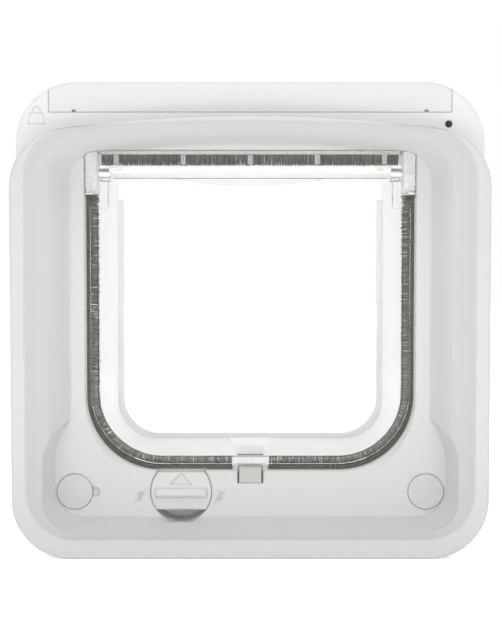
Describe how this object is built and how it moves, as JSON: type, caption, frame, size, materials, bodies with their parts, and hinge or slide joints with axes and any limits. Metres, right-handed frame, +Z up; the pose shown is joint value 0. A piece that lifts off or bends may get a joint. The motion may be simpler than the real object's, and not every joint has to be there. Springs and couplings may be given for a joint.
{
  "type": "cat flap",
  "caption": "Tag-reading cat flap with a dished white indoor housing, clear two-way flap, pile seals, lock dial, battery cover, square tunnel and exterior frame.",
  "frame": {"origin": "centre of the footprint on the surface that the part stands on, half way through its depth", "axes": "+X right seen from indoors, +Y through the door to the outside, +Z up"},
  "size_m": [0.21, 0.15, 0.211],
  "materials": {
    "white_plastic": "satin moulded white plastic",
    "clear_plastic": "clear polished plastic",
    "frosted_plastic": "translucent plastic",
    "cream_plastic": "satin cream plastic",
    "grey_plastic": "satin grey plastic",
    "black_plastic": "matt black",
    "dark_lens": "dark lens, unlit",
    "brown_pile": "dense brown brush pile",
    "dark_backing": "woven backing strip",
    "zinc_steel": "zinc plated",
    "contact_metal": "nickel plated spring sheet",
    "copper": "enamelled copper winding",
    "board_green": "glass fibre board with solder mask",
    "magnet_grey": "plated magnet",
    "cell_sleeve": "plain sleeved cell, steel can"
  },
  "bodies": {
    "housing": {"front_housing": "white_plastic", "rear_plate": "white_plastic", "rear_plate_screws": "zinc_steel", "battery_tray": "white_plastic", "battery_contacts": "contact_metal", "learn_switch": "contact_metal", "indicator_light": "dark_lens", "antenna_coil": "copper", "circuit_board": "board_green", "board_components": "black_plastic", "pile_seal_right": "brown_pile", "pile_seal_left": "brown_pile", "seal_backing_right": "dark_backing", "seal_backing_left": "dark_backing", "brush_strip": "brown_pile", "brush_carrier": "clear_plastic", "hinge_block_right": "clear_plastic", "hinge_block_left": "clear_plastic", "sill_magnet": "magnet_grey", "catch_block": "grey_plastic", "catch_motor": "zinc_steel", "tunnel": "white_plastic", "exterior_frame": "white_plastic", "battery_cell_1": "cell_sleeve", "battery_cell_2": "cell_sleeve", "battery_cell_3": "cell_sleeve", "battery_cell_4": "cell_sleeve"},
    "flap": {"flap": "clear_plastic", "magnet_holder": "frosted_plastic", "flap_magnet": "magnet_grey", "hinge_pin_left": "zinc_steel", "hinge_pin_right": "zinc_steel"},
    "dial": {"lock_dial": "white_plastic", "dial_cam": "grey_plastic"},
    "inner_catch": {"inner_catch": "cream_plastic"},
    "outer_catch": {"outer_catch": "cream_plastic"},
    "battery_cover": {"battery_cover": "white_plastic"},
    "screw_cover_left": {"screw_cover_left": "white_plastic"},
    "screw_cover_right": {"screw_cover_right": "white_plastic"},
    "learn_button": {"learn_button": "grey_plastic"}
  },
  "joints": [
    {"name": "flap_swing", "type": "hinge", "parent": "housing", "child": "flap", "pos_m": [0, -0.03855, 0.173], "axis": [1, 0, 0], "range_deg": [-75, 75]},
    {"name": "dial_turn", "type": "hinge", "parent": "housing", "child": "dial", "pos_m": [-0.0323, -0.047, 0.0241], "axis": [0, -1, 0], "range_deg": [-90, 180]},
    {"name": "inner_catch_rise", "type": "slide", "parent": "housing", "child": "inner_catch", "axis": [0, 0, 1], "range_m": [0, 0.006]},
    {"name": "outer_catch_rise", "type": "slide", "parent": "housing", "child": "outer_catch", "axis": [0, 0, 1], "range_m": [0, 0.006]},
    {"name": "battery_cover_lift", "type": "slide", "parent": "housing", "child": "battery_cover", "axis": [0, 0, 1], "range_m": [0, 0.03]},
    {"name": "screw_cover_left_pull", "type": "slide", "parent": "housing", "child": "screw_cover_left", "axis": [0, -1, 0], "range_m": [0, 0.008]},
    {"name": "screw_cover_right_pull", "type": "slide", "parent": "housing", "child": "screw_cover_right", "axis": [0, -1, 0], "range_m": [0, 0.008]},
    {"name": "learn_button_press", "type": "slide", "parent": "housing", "child": "learn_button", "axis": [0, 0, -1], "range_m": [0, 0.0015], "stiffness_N_per_m": 200}
  ]
}
